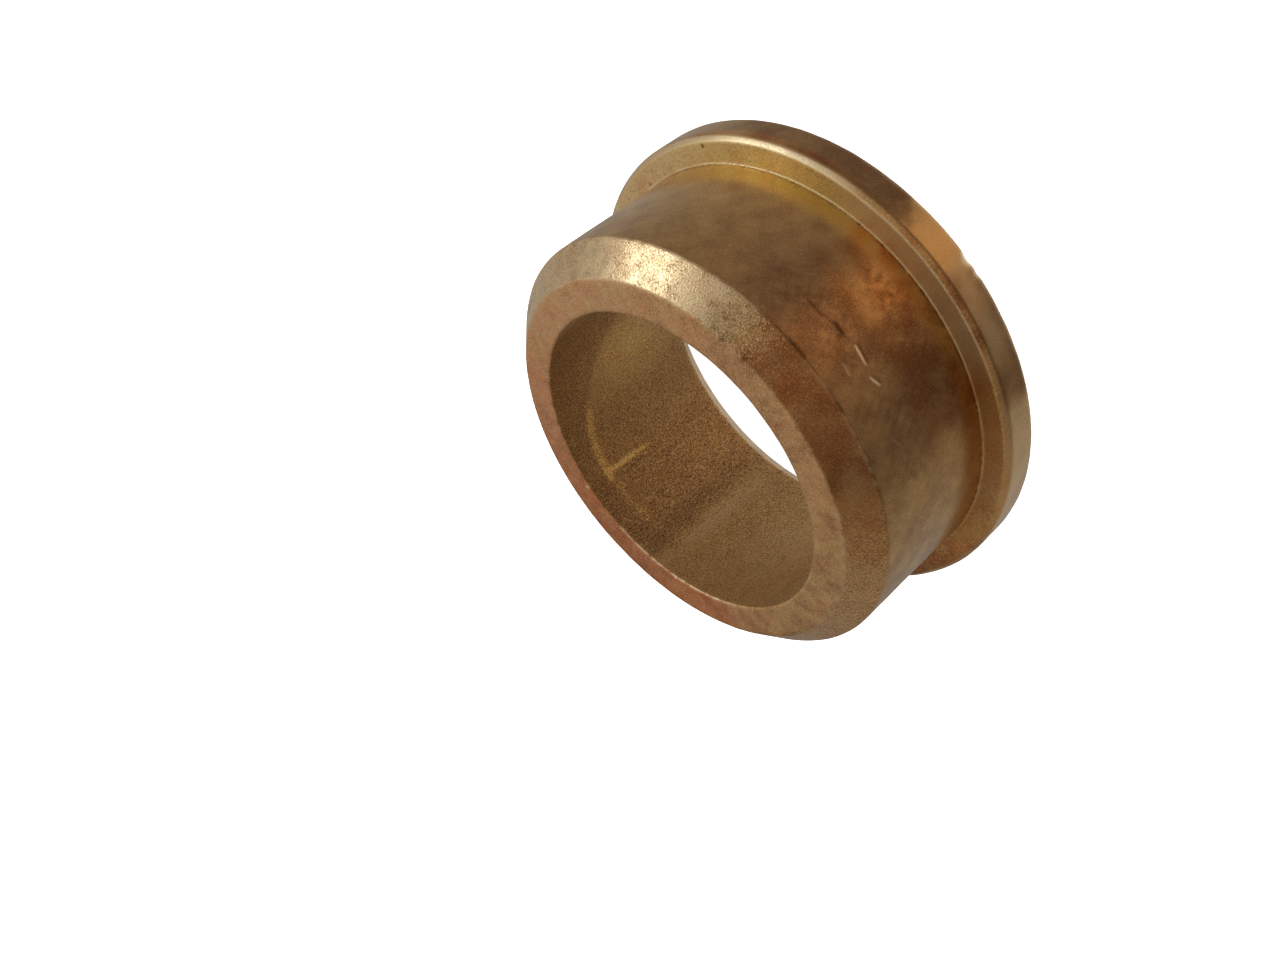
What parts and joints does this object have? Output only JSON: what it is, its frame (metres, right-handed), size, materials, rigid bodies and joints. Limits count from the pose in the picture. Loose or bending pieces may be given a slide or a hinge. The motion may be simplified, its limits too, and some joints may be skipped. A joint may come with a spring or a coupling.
{
  "type": "flanged sleeve bushing",
  "caption": "Plain sintered bronze bearing sleeve for a turning shaft, with a thrust flange at one end and a lead-in chamfer at the nose.",
  "frame": {"origin": "centre of the flange's outer face, which is the lowest face", "axes": "+Z along the bore, from the flange to the nose; X and Y lie in the flange's outer face and are free to turn, because the part is round"},
  "size_m": [0.0384, 0.0384, 0.0157],
  "materials": {
    "bronze": "sintered and sized tin bronze, satin and finely pored, worn bright on its edges and stained brown where it has run"
  },
  "bodies": {
    "root": {"flanged_bushing": "bronze"}
  },
  "joints": []
}
